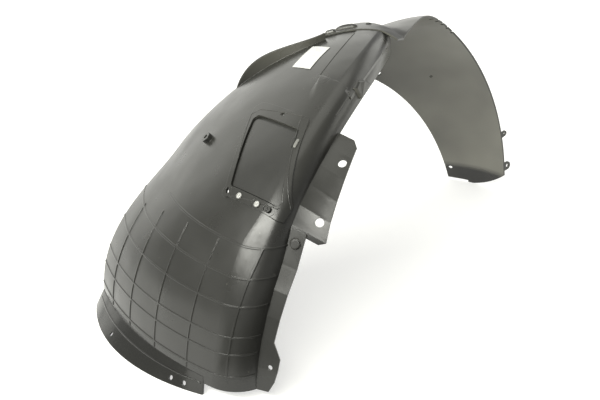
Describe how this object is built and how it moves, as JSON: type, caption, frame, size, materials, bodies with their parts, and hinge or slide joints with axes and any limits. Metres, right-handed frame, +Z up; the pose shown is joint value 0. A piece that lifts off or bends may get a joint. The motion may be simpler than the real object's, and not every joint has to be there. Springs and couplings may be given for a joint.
{
  "type": "wheel arch liner",
  "caption": "Moulded plastic wheel arch liner in lapped front and rear sections, with a gridded barrel, a skirted foot, an inner flange and a riveted access cover.",
  "frame": {"origin": "on the floor, in the middle of the footprint", "axes": "+X to the rear of the car, +Y out to the fender lip, +Z up"},
  "size_m": [0.7622, 0.3528, 0.3476],
  "materials": {
    "liner_plastic": "satin",
    "rear_plastic": "satin",
    "cover_plastic": "satin",
    "rivet_nylon": "satin",
    "clip_nylon": "satin",
    "label_paper": "matt"
  },
  "bodies": {
    "root": {"front_section": "liner_plastic", "rear_section": "rear_plastic", "access_cover": "cover_plastic", "cover_rivets": "rivet_nylon", "cover_clip": "clip_nylon", "lap_rivets": "clip_nylon", "part_label": "label_paper"}
  },
  "joints": []
}
